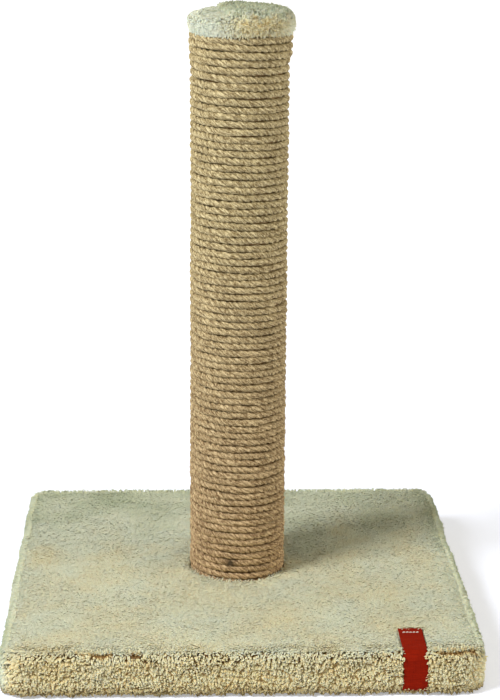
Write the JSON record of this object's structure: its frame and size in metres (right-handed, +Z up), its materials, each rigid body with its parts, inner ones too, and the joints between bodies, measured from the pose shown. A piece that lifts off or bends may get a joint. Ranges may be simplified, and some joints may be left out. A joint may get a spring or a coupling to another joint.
{
  "type": "cat scratching post",
  "caption": "Square plush covered base with an upright rope wound post, a plush cap on its top and a ribbon label over the front edge; a bolt from below holds the post.",
  "frame": {"origin": "on the floor under the middle of the base, on the post's axis", "axes": "+Z up along the post; -Y is the front, where the label hangs over the base's edge; +X to the right seen from the front"},
  "size_m": [0.4, 0.4, 0.5382],
  "materials": {
    "chipboard": "matte",
    "plush": "matte",
    "lining_cloth": "matte",
    "ribbon": "matte",
    "thread": "matte",
    "zinc_steel": "satin",
    "tube_board": "matte",
    "plug_board": "matte",
    "rope": "matte"
  },
  "bodies": {
    "base": {"base_board": "chipboard", "base_plush_cover": "plush", "underside_lining": "lining_cloth", "hem_staples": "zinc_steel", "lining_staples": "zinc_steel", "label_tag": "ribbon", "label_stitches": "thread", "label_staple": "zinc_steel", "bolt_washer": "zinc_steel"},
    "post": {"post_tube": "tube_board", "bottom_plug": "plug_board", "tee_nut": "zinc_steel", "bottom_plug_nails": "zinc_steel", "top_plug": "plug_board", "top_plug_nails": "zinc_steel", "rope_span_1": "rope", "rope_span_2": "rope", "rope_span_3": "rope", "rope_span_4": "rope", "rope_nails": "zinc_steel", "top_plush_cap": "plush"},
    "bolt": {"fixing_bolt": "zinc_steel"}
  },
  "joints": [
    {"name": "post_lift", "type": "slide", "parent": "base", "child": "post", "axis": [0, 0, 1], "range_m": [0, 0.0175]},
    {"name": "bolt_turn", "type": "hinge", "parent": "base", "child": "bolt", "pos_m": [0, 0, 0.0108], "axis": [0, 0, 1], "range_deg": [-5040, 0]}
  ],
  "couplings": [
    {"joint": "bolt_turn", "follows": "post_lift", "rad_per_m": -5026.5}
  ]
}
